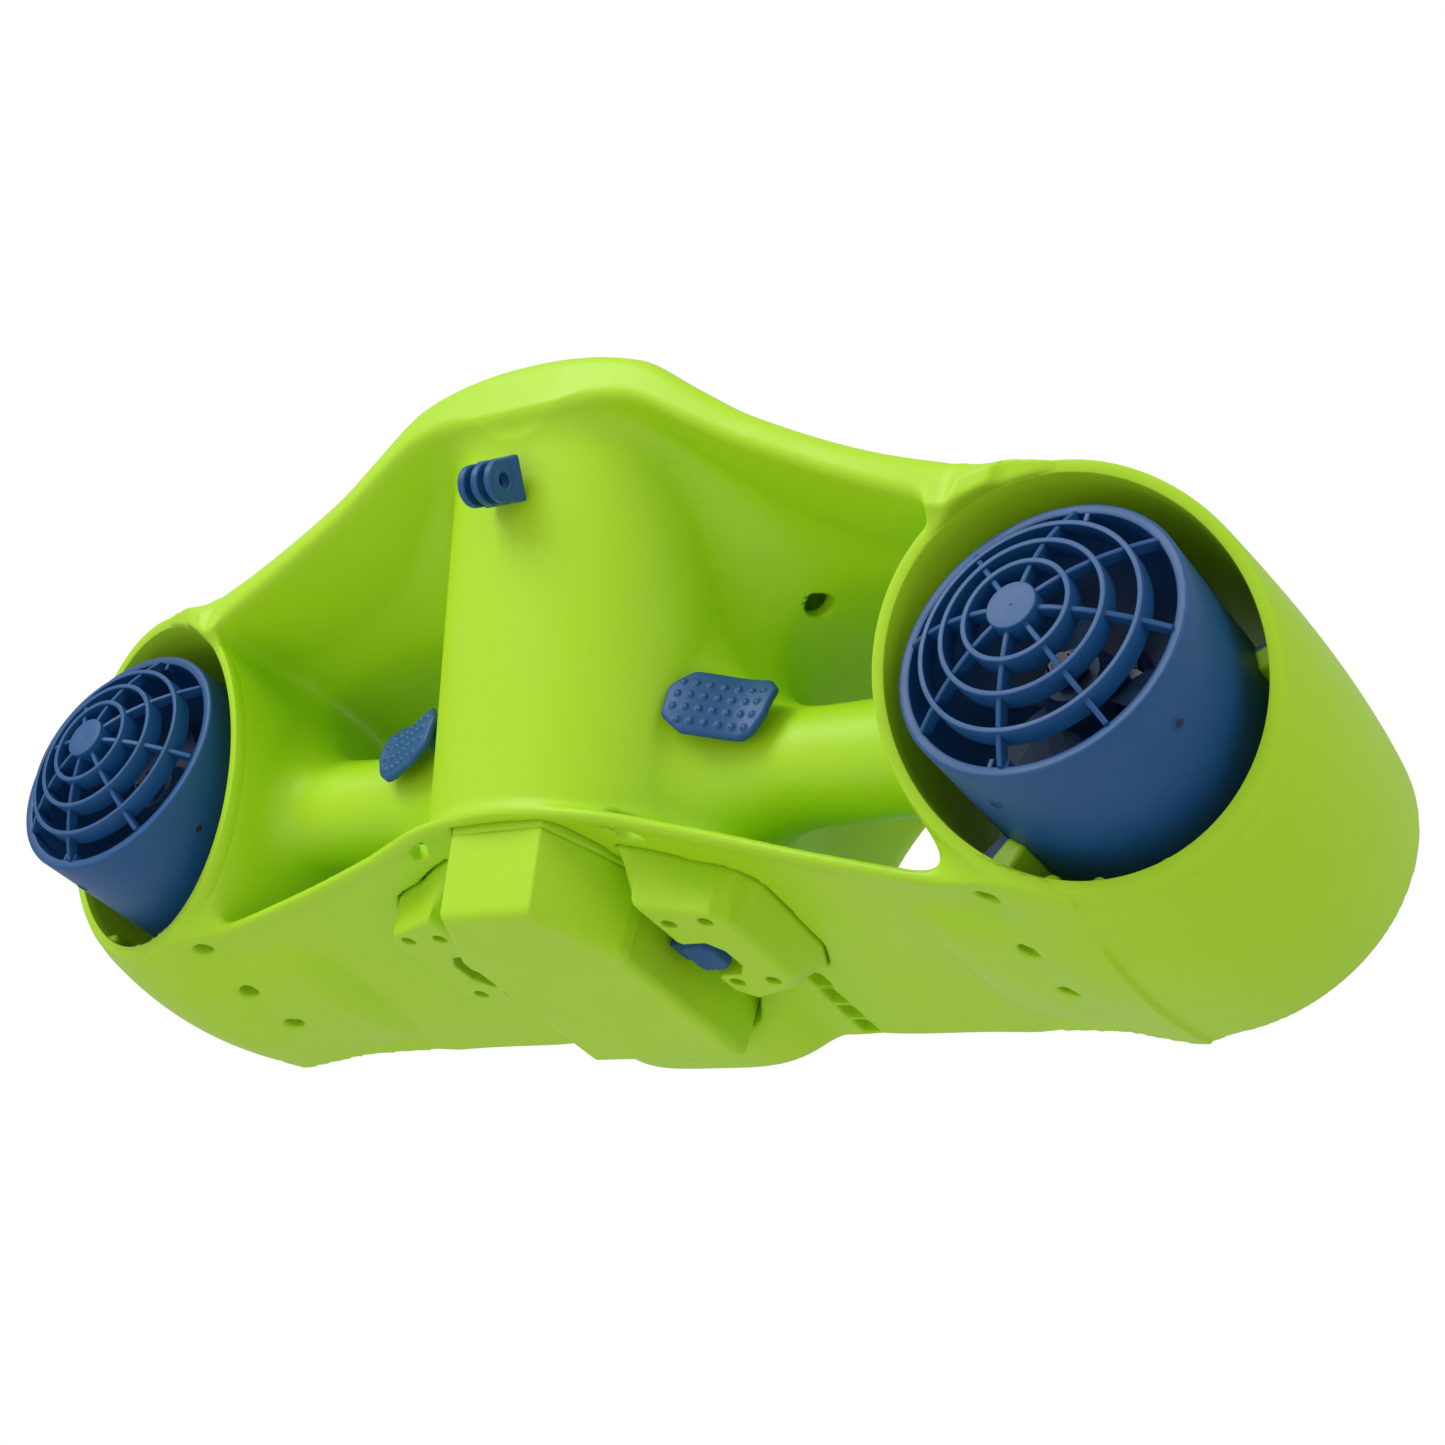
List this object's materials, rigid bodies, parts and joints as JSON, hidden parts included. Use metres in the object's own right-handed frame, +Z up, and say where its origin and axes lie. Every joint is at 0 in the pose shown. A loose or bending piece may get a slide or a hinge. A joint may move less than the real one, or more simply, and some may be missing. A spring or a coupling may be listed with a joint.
{
  "type": "underwater scooter",
  "caption": "Hand-held underwater scooter: a roofed body with ducted propellers at both ends, cross grips with triggers, and a battery underneath.",
  "frame": {"origin": "under the middle of the scooter, on the flat bottom of the battery", "axes": "+Z up, -Y the direction of travel, +X the rider's left and along the line from duct to duct"},
  "size_m": [0.545, 0.2108, 0.1888],
  "materials": {
    "body_green": "semi-matte moulded lime green plastic",
    "trim_blue": "semi-matte moulded dark blue plastic",
    "stainless_steel": "plain stainless steel",
    "black_plastic": "matt black plastic",
    "anodised_metal": "dark anodised"
  },
  "bodies": {
    "hull": {"roof_cover": "body_green", "bottom_plate": "body_green", "pillar_lower": "body_green", "pillar_upper": "body_green", "rear_cover": "body_green", "battery_contacts": "black_plastic", "controller_box": "black_plastic", "camera_mount": "trim_blue", "shroud_left": "body_green", "handle_left": "body_green", "duct_left": "trim_blue", "grille_left": "trim_blue", "stator_left": "black_plastic", "trigger_pin_left": "stainless_steel", "trigger_bracket_left": "black_plastic", "retainer_left": "body_green", "latch_spring_left": "stainless_steel", "duct_bracket_left_lower": "body_green", "duct_bracket_left_outer": "body_green", "duct_bracket_left_upper": "body_green", "duct_screw_left_1": "stainless_steel", "duct_screw_left_2": "stainless_steel", "duct_screw_left_3": "stainless_steel", "retainer_screw_left_1": "stainless_steel", "retainer_screw_left_2": "stainless_steel", "retainer_screw_left_3": "stainless_steel", "retainer_screw_left_4": "stainless_steel", "shroud_right": "body_green", "handle_right": "body_green", "duct_right": "trim_blue", "grille_right": "trim_blue", "stator_right": "black_plastic", "trigger_pin_right": "stainless_steel", "trigger_bracket_right": "black_plastic", "retainer_right": "body_green", "latch_spring_right": "stainless_steel", "duct_bracket_right_lower": "body_green", "duct_bracket_right_outer": "body_green", "duct_bracket_right_upper": "body_green", "duct_screw_right_1": "stainless_steel", "duct_screw_right_2": "stainless_steel", "duct_screw_right_3": "stainless_steel", "retainer_screw_right_1": "stainless_steel", "retainer_screw_right_2": "stainless_steel", "retainer_screw_right_3": "stainless_steel", "retainer_screw_right_4": "stainless_steel"},
    "rotor_left": {"propeller_left": "black_plastic", "prop_nut_left": "stainless_steel", "motor_shaft_left": "stainless_steel", "motor_can_left": "anodised_metal"},
    "trigger_lever_left": {"trigger_left": "trim_blue"},
    "latch_slide_left": {"latch_left": "trim_blue"},
    "rotor_right": {"propeller_right": "black_plastic", "prop_nut_right": "stainless_steel", "motor_shaft_right": "stainless_steel", "motor_can_right": "anodised_metal"},
    "trigger_lever_right": {"trigger_right": "trim_blue"},
    "latch_slide_right": {"latch_right": "trim_blue"},
    "battery": {"battery_pack": "body_green"}
  },
  "joints": [
    {"name": "trigger_left_hinge", "type": "hinge", "parent": "hull", "child": "trigger_lever_left", "pos_m": [0.045, -0.0275, 0.082], "axis": [0, 0, 1], "range_deg": [0, 4], "stiffness_Nm_per_rad": 0.4, "springref_deg": -4.58},
    {"name": "rotor_left_spin", "type": "hinge", "parent": "hull", "child": "rotor_left", "pos_m": [0.2055, 0, 0.073], "axis": [0, 1, 0], "continuous": true},
    {"name": "latch_left_slide", "type": "slide", "parent": "hull", "child": "latch_slide_left", "axis": [1, 0, 0], "range_m": [0, 0.004], "stiffness_N_per_m": 400, "springref_m": -0.003, "deforming": ["latch_spring_left"]},
    {"name": "trigger_right_hinge", "type": "hinge", "parent": "hull", "child": "trigger_lever_right", "pos_m": [-0.045, -0.0275, 0.082], "axis": [0, 0, -1], "range_deg": [0, 4], "stiffness_Nm_per_rad": 0.4, "springref_deg": -4.58},
    {"name": "rotor_right_spin", "type": "hinge", "parent": "hull", "child": "rotor_right", "pos_m": [-0.2055, 0, 0.073], "axis": [0, 1, 0], "continuous": true},
    {"name": "latch_right_slide", "type": "slide", "parent": "hull", "child": "latch_slide_right", "axis": [-1, 0, 0], "range_m": [0, 0.004], "stiffness_N_per_m": 400, "springref_m": -0.003, "deforming": ["latch_spring_right"]},
    {"name": "battery_slide", "type": "slide", "parent": "hull", "child": "battery", "axis": [0, 0, -1], "range_m": [0, 0.055]}
  ]
}
